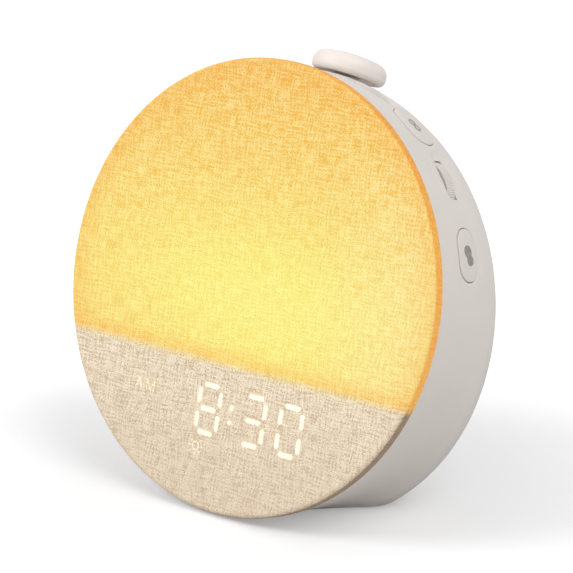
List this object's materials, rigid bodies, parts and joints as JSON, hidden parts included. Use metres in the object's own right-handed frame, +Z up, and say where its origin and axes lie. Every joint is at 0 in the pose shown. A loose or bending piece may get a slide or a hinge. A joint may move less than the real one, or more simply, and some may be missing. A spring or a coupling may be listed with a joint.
{
  "type": "sunrise alarm clock",
  "caption": "Round bedside clock that leans back: a cloth-covered lamp and lit digits on a domed shell, with a top knob, side buttons and thumbwheels.",
  "frame": {"origin": "middle of the rubber base pad's underside", "axes": "+Z up, the cloth front faces -Y and leans back, +X is the viewer's right, where the side controls are"},
  "size_m": [0.17, 0.095, 0.1653],
  "materials": {
    "cloth": "fine woven linen",
    "diffuser": "milky, lit from behind",
    "shell": "fine matt",
    "knob": "fine matt",
    "pad": "matt",
    "white": "plain moulded",
    "black": "plain moulded",
    "bars": "clear white, lit",
    "bars_dark": "clear white, unlit",
    "board": "lacquered",
    "board_white": "lacquered",
    "lamp": "clear",
    "steel": "plated",
    "magnet": "coated",
    "cone": "pressed paper",
    "rubber": "matt",
    "foam": "foam",
    "lead_red": "insulation",
    "lead_black": "insulation",
    "lead_white": "insulation"
  },
  "bodies": {
    "clock": {"front_cloth": "cloth", "diffuser_dish": "diffuser", "front_frame": "white", "frame_screws": "steel", "chassis_tray": "white", "glow_board": "board_white", "glow_lamps": "lamp", "display_mask": "black", "display_reflector": "white", "lit_bars": "bars", "unlit_bars": "bars_dark", "display_board": "board", "display_lamps": "lamp", "display_screws": "steel", "rear_shell": "shell", "base_pad": "pad", "encoder_body": "steel", "encoder_board": "board", "encoder_screws": "steel", "control_carrier": "white", "carrier_screws": "steel", "light_switch": "steel", "light_switch_board": "board", "sound_switch": "steel", "sound_switch_board": "board", "brightness_encoder": "black", "volume_encoder": "black", "main_board": "board", "board_chips": "black", "board_capacitors": "steel", "board_connectors": "white", "main_screws": "steel", "cell_holder": "black", "backup_cell": "steel", "speaker_basket": "steel", "speaker_magnet": "magnet", "speaker_cone": "cone", "speaker_surround": "rubber", "speaker_gasket": "foam", "speaker_screws": "steel", "power_inlet": "black", "inlet_board": "board", "inlet_screws": "steel", "speaker_leads": "lead_red", "inlet_leads": "lead_black", "control_leads": "lead_white"},
    "knob_rotor": {"encoder_rotor": "black"},
    "knob": {"knob_cap": "knob", "encoder_shaft": "steel"},
    "light_key": {"light_button": "shell", "light_plunger": "black"},
    "sound_key": {"sound_button": "shell", "sound_plunger": "black"},
    "brightness_dial": {"brightness_wheel": "shell", "brightness_axle": "steel"},
    "volume_dial": {"volume_wheel": "shell", "volume_axle": "steel"}
  },
  "joints": [
    {"name": "knob_turn", "type": "hinge", "parent": "clock", "child": "knob_rotor", "pos_m": [0.00288, 0.03758, 0.15175], "axis": [0.0343, 0.4304, 0.902], "continuous": true},
    {"name": "knob_press", "type": "slide", "parent": "knob_rotor", "child": "knob", "axis": [-0.0343, -0.4304, -0.902], "range_m": [0, 0.001], "stiffness_N_per_m": 1500, "springref_m": -0.0005},
    {"name": "light_press", "type": "slide", "parent": "clock", "child": "light_key", "axis": [-0.5519, -0.2158, -0.8055], "range_m": [0, 0.0006], "stiffness_N_per_m": 2000, "springref_m": -0.0003},
    {"name": "sound_press", "type": "slide", "parent": "clock", "child": "sound_key", "axis": [-0.9444, -0.0851, -0.3177], "range_m": [0, 0.0006], "stiffness_N_per_m": 2000, "springref_m": -0.0003},
    {"name": "brightness_spin", "type": "hinge", "parent": "clock", "child": "brightness_dial", "pos_m": [0.02082, 0.02205, 0.1421], "axis": [0, -0.9659, 0.2588], "continuous": true},
    {"name": "volume_spin", "type": "hinge", "parent": "clock", "child": "volume_dial", "pos_m": [0.05417, 0.01629, 0.12057], "axis": [0, -0.9659, 0.2588], "continuous": true}
  ]
}
